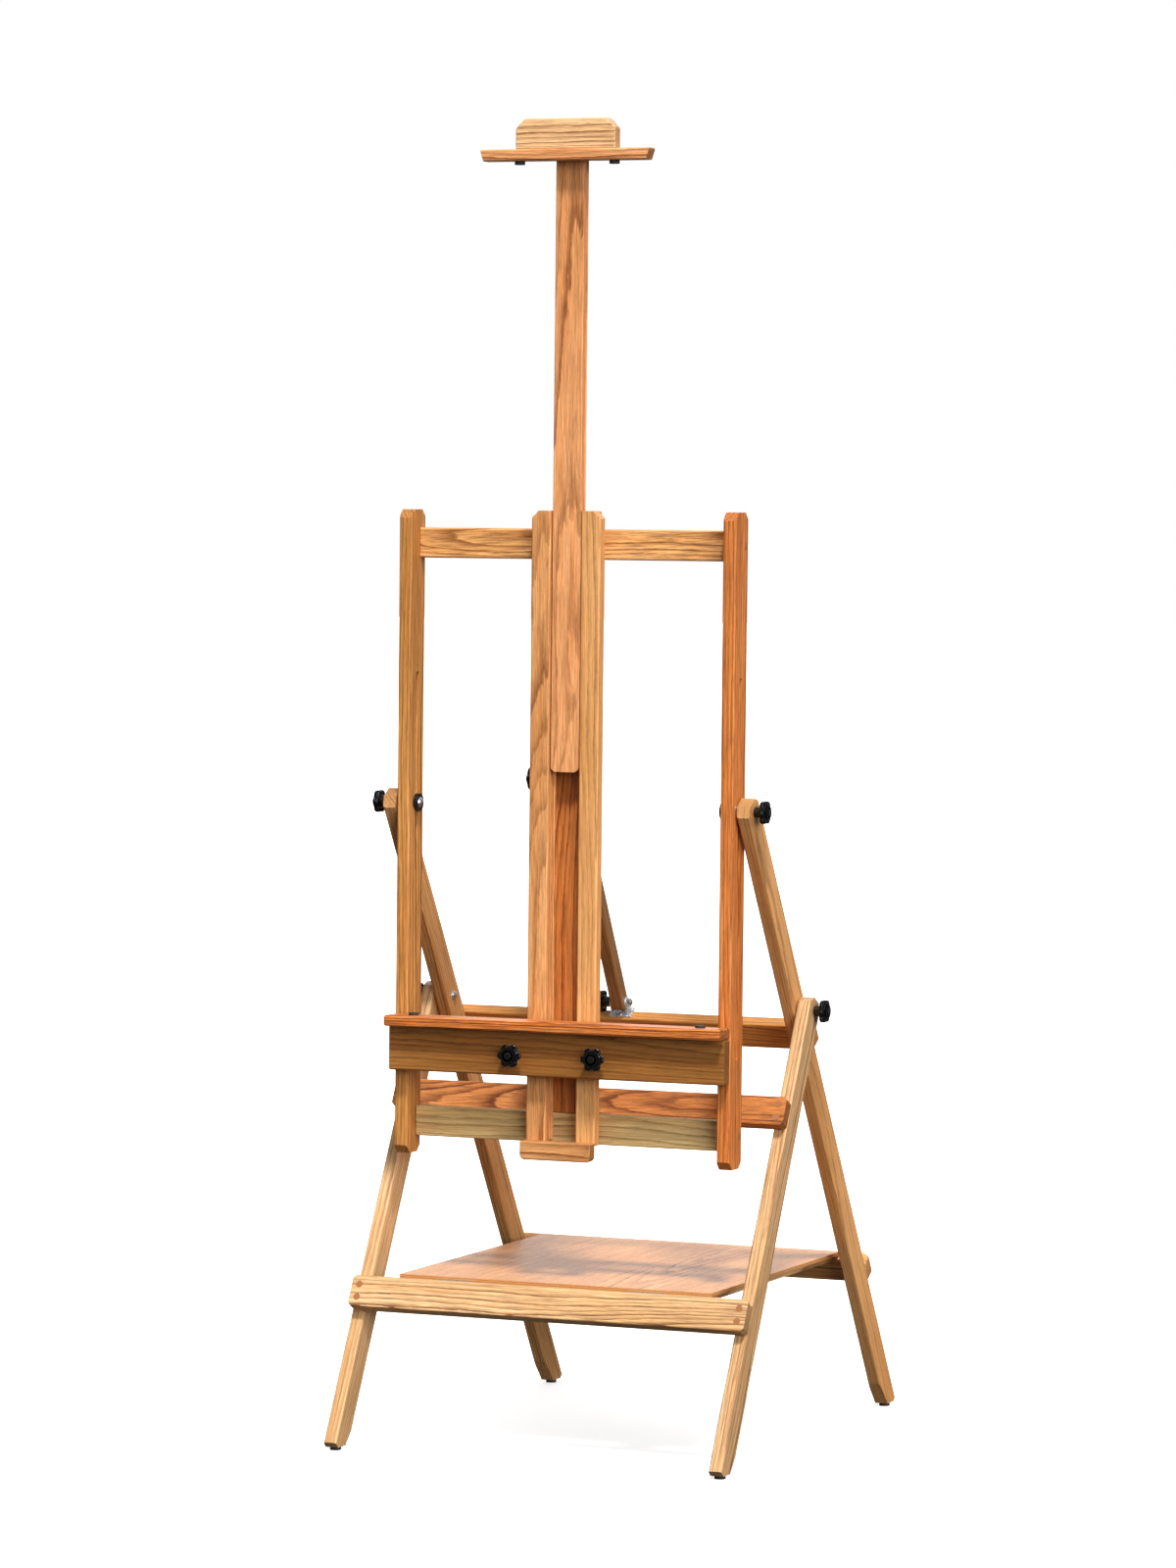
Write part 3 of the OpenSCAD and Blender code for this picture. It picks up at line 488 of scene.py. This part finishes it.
class EaselTimber(bpy.types.PropertyGroup):
    """How the oak grew, how its edges were eased and which oils are on it"""
    edge_radius: bpy.props.FloatProperty(
        name="Edge radius", description="Rounding of the boards' sawn edges",
        default=2.2 * MM, min=0.1 * MM, max=4 * MM, unit="LENGTH")
    # Oak grows 2 to 3 mm a year, drawn wider so that the lines show.
    ring_width: bpy.props.FloatProperty(
        name="Ring width", description="Thickness of one year's growth",
        default=4.2 * MM, min=1 * MM, max=10 * MM, unit="LENGTH")
    sway: bpy.props.FloatProperty(
        name="Sway", description="How far the trunk leans in and out of the board",
        default=36 * MM, min=0, max=200 * MM, unit="LENGTH")
    waver: bpy.props.FloatProperty(
        name="Waver", description="How far each ring wanders from a smooth line",
        default=3.2 * MM, min=0, max=20 * MM, unit="LENGTH")
    line_strength: bpy.props.FloatProperty(
        name="Grain contrast", description="How dark the spring wood is",
        default=0.92, min=0, max=1, subtype="FACTOR")
    pore_strength: bpy.props.FloatProperty(
        name="Pore contrast", description="How dark the open pores are",
        default=0.6, min=0, max=1, subtype="FACTOR")
    pore_depth: bpy.props.FloatProperty(
        name="Pore depth", description="Depth of the open pores",
        default=0.4 * MM, min=0, max=2 * MM, unit="LENGTH")
    straw: bpy.props.FloatVectorProperty(
        name="Straw", description="Oil on the front legs and the lower rail",
        size=4, default=paint("#d9ae7d"), min=0, max=1, subtype="COLOR")
    cream: bpy.props.FloatVectorProperty(
        name="Cream", description="Oil on the holder board",
        size=4, default=paint("#ecbd8a"), min=0, max=1, subtype="COLOR")
    barley: bpy.props.FloatVectorProperty(
        name="Barley", description="Oil on the lower crossbar",
        size=4, default=paint("#efcb8c"), min=0, max=1, subtype="COLOR")
    wheat: bpy.props.FloatVectorProperty(
        name="Wheat", description="Oil on the rear legs, top crossbar, cheek and stay",
        size=4, default=paint("#dca266"), min=0, max=1, subtype="COLOR")
    honey: bpy.props.FloatVectorProperty(
        name="Honey", description="Oil on the left post and the rear rail",
        size=4, default=paint("#d3934e"), min=0, max=1, subtype="COLOR")
    rose: bpy.props.FloatVectorProperty(
        name="Rose", description="Oil on the mast and its holder bar",
        size=4, default=paint("#df9d67"), min=0, max=1, subtype="COLOR")
    peach: bpy.props.FloatVectorProperty(
        name="Peach", description="Oil on the shelf, left channel post and foot block",
        size=4, default=paint("#df9d61"), min=0, max=1, subtype="COLOR")
    amber: bpy.props.FloatVectorProperty(
        name="Amber", description="Oil on the right post, the spine and the ledge",
        size=4, default=paint("#d4803f"), min=0, max=1, subtype="COLOR")
    chestnut: bpy.props.FloatVectorProperty(
        name="Chestnut", description="Oil on the front upper rail and the dark plies",
        size=4, default=paint("#bc773e"), min=0, max=1, subtype="COLOR")
    # Umber is partly the apron's darker wood and partly painted shade from the ledge overhanging it.
    umber: bpy.props.FloatVectorProperty(
        name="Umber", description="Oil on the tray's dark apron",
        size=4, default=paint("#9d6830"), min=0, max=1, subtype="COLOR")


class EaselFittings(bpy.types.PropertyGroup):
    """Sizes of the star knobs and colours of the fittings, plain and marked"""
    knob_width: bpy.props.FloatProperty(
        name="Knob width", description="Width of the star knobs over their lobes",
        default=size_of("mast_lock_knob").x, min=20 * MM, max=60 * MM, unit="LENGTH")
    knob_height: bpy.props.FloatProperty(
        name="Knob height", description="Height of the star knobs",
        default=size_of("leg_knob_right").x, min=12 * MM, max=40 * MM, unit="LENGTH")
    knob_lobes: bpy.props.IntProperty(
        name="Knob lobes", description="Number of lobes round a star knob",
        default=6, min=3, max=10)
    nylon: bpy.props.FloatVectorProperty(
        name="Nylon", description="Colour of the moulded knobs",
        size=4, default=paint("#070606"), min=0, max=1, subtype="COLOR")
    nylon_worn: bpy.props.FloatVectorProperty(
        name="Nylon, marked", description="Colour of the moulded knobs where marked",
        size=4, default=paint("#121010"), min=0, max=1, subtype="COLOR")
    rubber: bpy.props.FloatVectorProperty(
        name="Rubber", description="Colour of the feet and bumpers",
        size=4, default=paint("#1d1b1a"), min=0, max=1, subtype="COLOR")
    rubber_worn: bpy.props.FloatVectorProperty(
        name="Rubber, marked", description="Colour of the feet and bumpers where marked",
        size=4, default=paint("#33302e"), min=0, max=1, subtype="COLOR")
    zinc: bpy.props.FloatVectorProperty(
        name="Zinc", description="Colour of the plated bolts and washers",
        size=4, default=paint("#e2e4e6"), min=0, max=1, subtype="COLOR")
    zinc_worn: bpy.props.FloatVectorProperty(
        name="Zinc, marked", description="Colour of the bolts and washers where marked",
        size=4, default=paint("#a9abad"), min=0, max=1, subtype="COLOR")
    galvanised: bpy.props.FloatVectorProperty(
        name="Galvanised", description="Colour of the bracket and clamps",
        size=4, default=paint("#f4f6f6"), min=0, max=1, subtype="COLOR")
    galvanised_worn: bpy.props.FloatVectorProperty(
        name="Galvanised, marked", description="Colour of the bracket and clamps where marked",
        size=4, default=paint("#a9b6c2"), min=0, max=1, subtype="COLOR")
    brass: bpy.props.FloatVectorProperty(
        name="Brass", description="Colour of the threaded insert",
        size=4, default=paint("#d4a860"), min=0, max=1, subtype="COLOR")
    brass_worn: bpy.props.FloatVectorProperty(
        name="Brass, marked", description="Colour of the threaded insert where marked",
        size=4, default=paint("#a67f3c"), min=0, max=1, subtype="COLOR")
    plug: bpy.props.FloatVectorProperty(
        name="Plug", description="Colour of the wooden plugs",
        size=4, default=paint("#b0713f"), min=0, max=1, subtype="COLOR")
    plug_worn: bpy.props.FloatVectorProperty(
        name="Plug, marked", description="Colour of the wooden plugs where marked",
        size=4, default=paint("#7d4a22"), min=0, max=1, subtype="COLOR")


class EaselStage(bpy.types.PropertyGroup):
    """The studio's paper and lights"""
    floor_colour: bpy.props.FloatVectorProperty(
        name="Floor colour", description="Colour of the studio floor",
        size=4, default=paint("#f8f8f8"), min=0, max=1, subtype="COLOR")
    key: bpy.props.FloatProperty(
        name="Key light", description="Strength of the high light", default=3.7, min=0, max=10)
    side: bpy.props.FloatProperty(
        name="Side light", description="Strength of the low soft light from the right",
        default=2.6, min=0, max=10)
    back: bpy.props.FloatProperty(
        name="Back light", description="Strength of the soft light from behind",
        default=1.3, min=0, max=10)
    sky: bpy.props.FloatProperty(
        name="Room light", description="Strength of the light from overhead",
        default=0.38, min=0, max=5)
    ground: bpy.props.FloatProperty(
        name="Ground light", description="Strength of the light from below",
        default=0.06, min=0, max=5)
    # The floor glow is painted light: the paper's own emission, which fades the shadow cast on it.
    glow: bpy.props.FloatProperty(
        name="Floor glow",
        description="How far the paper is lit from below, which thins the shadow on it",
        default=0.6, min=0, max=2)


# ---- operators -----------------------------------------------------------

class EASEL_OT_stand(bpy.types.Operator):
    """Saws the rear legs and the rails between them"""
    bl_idname = "easel.stand"
    bl_label = "Rear frame"

    def execute(self, context):
        saw(STAND)
        return {"FINISHED"}


class EASEL_OT_front_frame(bpy.types.Operator):
    """Saws the front legs and the rails in front of them, with their plugs"""
    bl_idname = "easel.front_frame"
    bl_label = "Front frame"

    def execute(self, context):
        saw(FRONT_FRAME)
        dress(["rail_plugs"], fitting_finish("plug", context.scene.easel_fittings))
        return {"FINISHED"}


class EASEL_OT_shelf(bpy.types.Operator):
    """Saws the shelf and its battens"""
    bl_idname = "easel.shelf"
    bl_label = "Shelf"

    def execute(self, context):
        saw(SHELF)
        return {"FINISHED"}


class EASEL_OT_panel(bpy.types.Operator):
    """Saws the tilting panel: posts, crossbars, spine, foot block and slotted cheek"""
    bl_idname = "easel.panel"
    bl_label = "Tilting panel"

    def execute(self, context):
        saw(PANEL)
        dress(["post_plugs"], fitting_finish("plug", context.scene.easel_fittings))
        return {"FINISHED"}


class EASEL_OT_mast(bpy.types.Operator):
    """Saws the sliding mast and the canvas holder on top of it"""
    bl_idname = "easel.mast"
    bl_label = "Mast and holder"

    def execute(self, context):
        saw(MAST)
        return {"FINISHED"}


class EASEL_OT_tray(bpy.types.Operator):
    """Saws the sliding tray: apron and ledge"""
    bl_idname = "easel.tray"
    bl_label = "Tray"

    def execute(self, context):
        saw(TRAY)
        return {"FINISHED"}


class EASEL_OT_stay(bpy.types.Operator):
    """Saws the stay that holds the panel's tilt"""
    bl_idname = "easel.stay"
    bl_label = "Stay"

    def execute(self, context):
        saw(STAY)
        return {"FINISHED"}


class EASEL_OT_metal(bpy.types.Operator):
    """Plates the bolts, washers, bracket, hinges and clamps"""
    bl_idname = "easel.metal"
    bl_label = "Metal fittings"

    def execute(self, context):
        fittings = context.scene.easel_fittings
        zinc = fitting_finish("zinc", fittings)
        dress(["leg_bolts", "leg_washers", "wing_bolts", "wing_spacers", "stay_bolts", "stay_nut",
               "bracket_screws", "rail_hinge_leaves", "shelf_hinge_leaves"], zinc)
        dress(["stay_bracket", "tray_clamps"], fitting_finish("galvanised", fittings))
        dress(["mast_lock_insert"], fitting_finish("brass", fittings))
        return {"FINISHED"}


class EASEL_OT_rubber(bpy.types.Operator):
    """Moulds the feet, the bumpers and the black washers"""
    bl_idname = "easel.rubber"
    bl_label = "Rubber and nylon"

    def execute(self, context):
        fittings = context.scene.easel_fittings
        dress(["front_feet", "rear_feet", "holder_bumpers", "tray_bumpers"],
              fitting_finish("rubber", fittings))
        dress(["wing_washers", "stay_collar"], fitting_finish("nylon", fittings))
        return {"FINISHED"}


class EASEL_OT_knobs(bpy.types.Operator):
    """Moulds the nine star knobs"""
    bl_idname = "easel.knobs"
    bl_label = "Star knobs"

    def execute(self, context):
        fittings = context.scene.easel_fittings
        nylon = fitting_finish("nylon", fittings)
        steel = fitting_finish("zinc", fittings)
        for knob in KNOBS:
            points = Vector(knob.points)
            low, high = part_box(knob.node)
            out = max(low.dot(points), high.dot(points))
            middle = (low + high) / 2
            seat = middle + points * (out - fittings.knob_height - middle.dot(points))
            place = Matrix.Translation(seat) @ points.to_track_quat("Z", "Y").to_matrix().to_4x4()
            mesh = star_knob(fittings)
            reach = (high - low).dot(Vector(map(abs, knob.points))) - fittings.knob_height
            if reach > SCREW_SEAT:
                shaft = bmesh.ops.create_cone(
                    mesh, cap_ends=True, segments=32, radius1=knob.screw_mm * MM / 2,
                    radius2=knob.screw_mm * MM / 2, depth=reach + SCREW_SEAT,
                    matrix=Matrix.Translation((0, 0, (SCREW_SEAT - reach) / 2)))["verts"]
                for face in {f for v in shaft for f in v.link_faces}:
                    face.material_index = 1
            bmesh.ops.transform(mesh, matrix=place, verts=mesh.verts)
            finish_piece(mesh, knob.node + "_star", knob.node, [nylon, steel])
        return {"FINISHED"}


# Each light: how wide it looks, how high it stands and how far round from the front, in degrees.
Lamp = namedtuple("Lamp", "name strength width height round")
LAMPS = (
    Lamp("key_light", "key", 9, 60, 28),
    Lamp("side_light", "side", 45, 12, 52),
    Lamp("back_light", "back", 60, 16, 205),
)
FLOOR_REACH = 60
SENSOR_MM = 36
LENS_MM = 137.09
CAMERA_PLACE = Vector((3.2777, -8.1634, 1.3576))
# The camera's own axes: to its right, up, and back towards whoever holds it.
CAMERA_AXES = (
    (0.925055, 0.379700, 0.010091),
    (-0.026742, 0.038605, 0.998897),
    (0.378892, -0.924304, 0.045865),
)


class EASEL_OT_stage(bpy.types.Operator):
    """Lays the floor and sets the lights and the camera"""
    bl_idname = "easel.stage"
    bl_label = "Studio"

    def execute(self, context):
        stage = context.scene.easel_stage
        mesh = bmesh.new()
        bmesh.ops.create_grid(mesh, x_segments=1, y_segments=1, size=FLOOR_REACH)
        data = bpy.data.meshes.new("floor")
        mesh.to_mesh(data)
        mesh.free()
        floor = bpy.data.objects.new("floor", data)
        context.scene.collection.objects.link(floor)
        # White paper with a painted glow: it shines a little by itself, not by any lamp, so that the
        # shadow on it is faint.
        paper = blank("white_studio_paper")
        at = add(paper, "TexCoord")
        tooth = add(paper, "TexNoise", {"Vector": at.outputs["Object"], "Scale": 3.0, "Detail": 2.0})
        tone = add(paper, "Mix", {
            "Factor": tooth, "A": tuple(stage.floor_colour), "B": paint("#f5f5f5"),
        }, data_type="RGBA")
        sheet = add(paper, "BsdfPrincipled", {
            "Base Color": tone, "Roughness": 0.9,
            "Emission Color": paint("#ffffff"), "Emission Strength": stage.glow,
        })
        add(paper, "OutputMaterial", {"Surface": sheet})
        data.materials.append(paper)
        # The paper is only looked at: its own light would fill the boards from below.
        floor.visible_diffuse = False
        floor.visible_glossy = False

        world = bpy.data.worlds.new("room")
        world.use_nodes = True
        context.scene.world = world
        world.node_tree.nodes.clear()
        # A white tent overhead that darkens towards the ground.
        way = add(world, "TexCoord")
        split = add(world, "SeparateXYZ", {"Vector": way.outputs["Generated"]})
        tent = add(world, "MapRange", {
            "Value": split.outputs["Z"], "From Min": -0.25, "From Max": 0.35,
            "To Min": stage.ground, "To Max": stage.sky,
        })
        eye = add(world, "LightPath")
        bright = add(world, "Math", {0: tent, 1: eye.outputs["Is Camera Ray"]}, operation="MAXIMUM")
        sky = add(world, "Background", {"Color": paint("#ffffff"), "Strength": bright})
        add(world, "OutputWorld", {"Surface": sky})

        for lamp in LAMPS:
            light = bpy.data.lights.new(lamp.name, "SUN")
            light.energy = getattr(stage, lamp.strength)
            light.angle = math.radians(lamp.width)
            sun = bpy.data.objects.new(lamp.name, light)
            up, side = math.radians(lamp.height), math.radians(lamp.round)
            beam = Vector((math.sin(side) * math.cos(up), -math.cos(side) * math.cos(up),
                           math.sin(up)))
            sun.rotation_euler = beam.to_track_quat("Z", "Y").to_euler()
            context.scene.collection.objects.link(sun)

        lens = bpy.data.cameras.new("camera")
        lens.sensor_fit = "VERTICAL"
        lens.sensor_height = SENSOR_MM
        lens.lens = LENS_MM
        lens.clip_end = 200
        camera = bpy.data.objects.new("camera", lens)
        camera.matrix_world = (Matrix.Translation(CAMERA_PLACE)
                               @ Matrix(CAMERA_AXES).transposed().to_4x4())
        context.scene.collection.objects.link(camera)
        context.scene.camera = camera
        context.scene.view_settings.view_transform = "Standard"
        return {"FINISHED"}


class EASEL_PT_panel(bpy.types.Panel):
    """Lists the steps in order, with everything a user may change"""
    bl_label = "Artist Easel"
    bl_idname = "EASEL_PT_panel"
    bl_space_type = "VIEW_3D"
    bl_region_type = "UI"
    bl_category = "Easel"

    def draw(self, context):
        scene = context.scene
        for operator in OPERATORS:
            self.layout.operator(operator.bl_idname)
        for group in (scene.easel_timber, scene.easel_fittings, scene.easel_stage):
            column = self.layout.column()
            for name in group.bl_rna.properties.keys():
                if name not in ("rna_type", "name"):
                    column.prop(group, name)


OPERATORS = (
    EASEL_OT_stand, EASEL_OT_front_frame, EASEL_OT_shelf, EASEL_OT_panel, EASEL_OT_mast,
    EASEL_OT_tray, EASEL_OT_stay, EASEL_OT_metal, EASEL_OT_rubber, EASEL_OT_knobs, EASEL_OT_stage,
)
GROUPS = {"easel_timber": EaselTimber, "easel_fittings": EaselFittings, "easel_stage": EaselStage}


def register():
    for name, group in GROUPS.items():
        bpy.utils.register_class(group)
        setattr(bpy.types.Scene, name, bpy.props.PointerProperty(type=group))
    for operator in OPERATORS:
        bpy.utils.register_class(operator)
    bpy.utils.register_class(EASEL_PT_panel)


def unregister():
    bpy.utils.unregister_class(EASEL_PT_panel)
    for operator in reversed(OPERATORS):
        bpy.utils.unregister_class(operator)
    for name, group in GROUPS.items():
        delattr(bpy.types.Scene, name)
        bpy.utils.unregister_class(group)


def main():
    """Builds every piece in order."""
    register()
    for operator in OPERATORS:
        step = operator.bl_idname.split(".")[1]
        getattr(bpy.ops.easel, step)()


if __name__ == "__main__":
    main()
